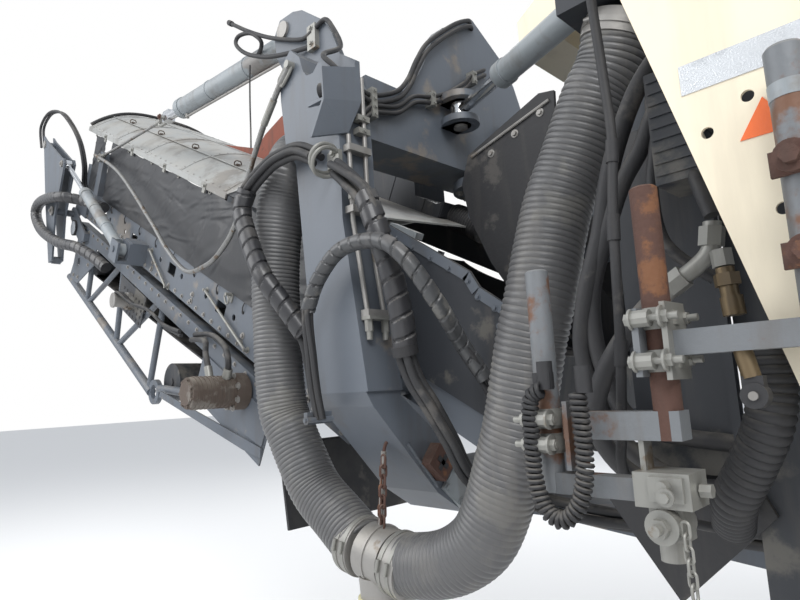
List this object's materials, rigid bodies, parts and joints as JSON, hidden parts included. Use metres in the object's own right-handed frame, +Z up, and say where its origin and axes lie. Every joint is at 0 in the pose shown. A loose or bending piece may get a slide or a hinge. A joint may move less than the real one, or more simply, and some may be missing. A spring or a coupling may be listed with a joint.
{
  "type": "cold planer front discharge conveyor unit",
  "caption": "Folding discharge conveyor of a milling machine, hung in a slewing ring bracket on a flanged front frame, with lift, fold and slewing cylinders and hoses.",
  "frame": {"origin": "centre of the rear face of the mounting flange, on the machine's centre line", "axes": "+X forwards towards the conveyor's tip, +Y to the machine's left, +Z up"},
  "size_m": [6.2549, 2.594, 3.3135],
  "materials": {
    "paint_grey": "satin, scuffed",
    "paint_dark": "satin, dusty",
    "paint_cream": "satin",
    "paint_pale": "satin",
    "roof_panels": "matt, weathered",
    "rubber_black": "matt",
    "pvc_curtain": "coated cloth, creased",
    "hose_grey": "ribbed",
    "bare_steel": "zinc plated, dirty",
    "chrome_rod": "polished",
    "rope_steel": "stranded wire",
    "rusty_steel": "rusted",
    "motor_brown": "dusty cast iron"
  },
  "bodies": {
    "front_frame": {"mount_flange": "paint_grey", "frame_walls": "paint_dark", "upper_console": "paint_grey", "lower_console": "paint_grey", "cylinder_lugs": "paint_grey", "transfer_hood": "paint_grey", "transfer_aprons": "rubber_black", "transfer_belt": "rubber_black", "transfer_drum": "bare_steel", "suction_box": "paint_dark", "centre_cover": "paint_cream", "side_fairings": "paint_cream", "filter_box": "paint_dark", "side_aprons": "rubber_black", "sensor_post": "paint_grey", "sensor_tubes": "rusty_steel", "sensor_holder": "bare_steel"},
    "slew_bracket": {"top_beam": "paint_grey", "columns": "paint_grey", "lower_yoke": "paint_grey", "lamp_guards": "paint_grey", "column_pipes": "bare_steel", "hose_tee": "bare_steel", "rear_suction_hose": "hose_grey", "front_suction_hose": "hose_grey", "rear_hydraulic_hoses": "rubber_black", "front_hydraulic_hoses": "rubber_black", "slack_rope": "rope_steel"},
    "inner_section": {"inner_side_plates": "paint_grey", "inner_posts": "paint_grey", "inner_crossbars": "paint_grey", "fold_hinges": "paint_grey", "inner_lugs": "paint_grey", "inner_roof": "roof_panels", "side_curtains": "pvc_curtain", "inner_belt": "rubber_black", "inner_rollers": "bare_steel", "receiving_hopper": "paint_dark", "suction_stub": "paint_grey", "air_duct": "paint_dark"},
    "outer_section": {"outer_side_plates": "paint_grey", "outer_crossbars": "paint_grey", "outer_hinge_lugs": "paint_grey", "outer_truss": "paint_grey", "outer_belt": "rubber_black", "outer_drums": "bare_steel", "drive_motor": "motor_brown", "discharge_hood": "paint_grey", "discharge_flap": "rubber_black"},
    "fold_lever_pair": {"fold_levers": "paint_grey"},
    "fold_barrel_pair": {"fold_barrels": "paint_pale"},
    "fold_rod_pair": {"fold_rods": "chrome_rod"},
    "lift_barrel_pair": {"lift_barrels": "paint_pale"},
    "lift_rod_pair": {"lift_rods": "chrome_rod", "lift_ropes": "rope_steel"},
    "slew_barrel_l": {"left_slew_barrel": "paint_pale"},
    "slew_rod_l": {"left_slew_rod": "chrome_rod"},
    "slew_barrel_r": {"right_slew_barrel": "paint_pale"},
    "slew_rod_r": {"right_slew_rod": "chrome_rod"}
  },
  "joints": [
    {"name": "slew", "type": "hinge", "parent": "front_frame", "child": "slew_bracket", "pos_m": [2, 0, 0.1], "axis": [0, 0, 1], "range_deg": [-30, 30], "deforming": ["rear_suction_hose", "rear_hydraulic_hoses"]},
    {"name": "tilt", "type": "hinge", "parent": "slew_bracket", "child": "inner_section", "pos_m": [2, 0, -0.14], "axis": [0, -1, 0], "range_deg": [-12, 4], "deforming": ["front_suction_hose", "front_hydraulic_hoses", "slack_rope"]},
    {"name": "fold", "type": "hinge", "parent": "inner_section", "child": "outer_section", "pos_m": [5.88564, 0, 1.44244], "axis": [0, -1, 0], "range_deg": [0, 165]},
    {"name": "lever", "type": "hinge", "parent": "inner_section", "child": "fold_lever_pair", "pos_m": [5.88564, 0, 1.44244], "axis": [0, -1, 0], "range_deg": [0, 61]},
    {"name": "fold_swing", "type": "hinge", "parent": "inner_section", "child": "fold_barrel_pair", "pos_m": [4.46074, 0, 0.82071], "axis": [0, -1, 0], "range_deg": [-6, 1]},
    {"name": "fold_slide", "type": "slide", "parent": "fold_barrel_pair", "child": "fold_rod_pair", "axis": [0.7793, 0, 0.6266], "range_m": [-0.4, 0]},
    {"name": "lift_swing", "type": "hinge", "parent": "slew_bracket", "child": "lift_barrel_pair", "pos_m": [2.514, 0, 1.447], "axis": [0, -1, 0], "range_deg": [-15, 6]},
    {"name": "lift_slide", "type": "slide", "parent": "lift_barrel_pair", "child": "lift_rod_pair", "axis": [0.9948, 0, 0.1021], "range_m": [-0.115, 0.335]},
    {"name": "left_slew_swing", "type": "hinge", "parent": "front_frame", "child": "slew_barrel_l", "pos_m": [0.96, 0.59, 0.99], "axis": [0, 0, 1], "range_deg": [-4, 4]},
    {"name": "left_slew_slide", "type": "slide", "parent": "slew_barrel_l", "child": "slew_rod_l", "axis": [0.9387, -0.3448, 0], "range_m": [-0.1, 0.1]},
    {"name": "right_slew_swing", "type": "hinge", "parent": "front_frame", "child": "slew_barrel_r", "pos_m": [0.96, -0.59, 0.99], "axis": [0, 0, 1], "range_deg": [-4, 4]},
    {"name": "right_slew_slide", "type": "slide", "parent": "slew_barrel_r", "child": "slew_rod_r", "axis": [0.9387, 0.3448, 0], "range_m": [-0.1, 0.1]}
  ],
  "couplings": [
    {"joint": "lever", "follows": "fold", "ratio": 0.3636},
    {"joint": "fold_swing", "follows": "fold", "ratio": -0.03272},
    {"joint": "fold_slide", "follows": "fold", "m_per_rad": -0.13704},
    {"joint": "lift_swing", "follows": "tilt", "ratio": 1.19},
    {"joint": "lift_slide", "follows": "tilt", "m_per_rad": -1.5777},
    {"joint": "left_slew_swing", "follows": "slew", "ratio": -0.1265},
    {"joint": "left_slew_slide", "follows": "slew", "m_per_rad": -0.1814},
    {"joint": "right_slew_swing", "follows": "slew", "ratio": -0.1265},
    {"joint": "right_slew_slide", "follows": "slew", "m_per_rad": 0.1814}
  ]
}
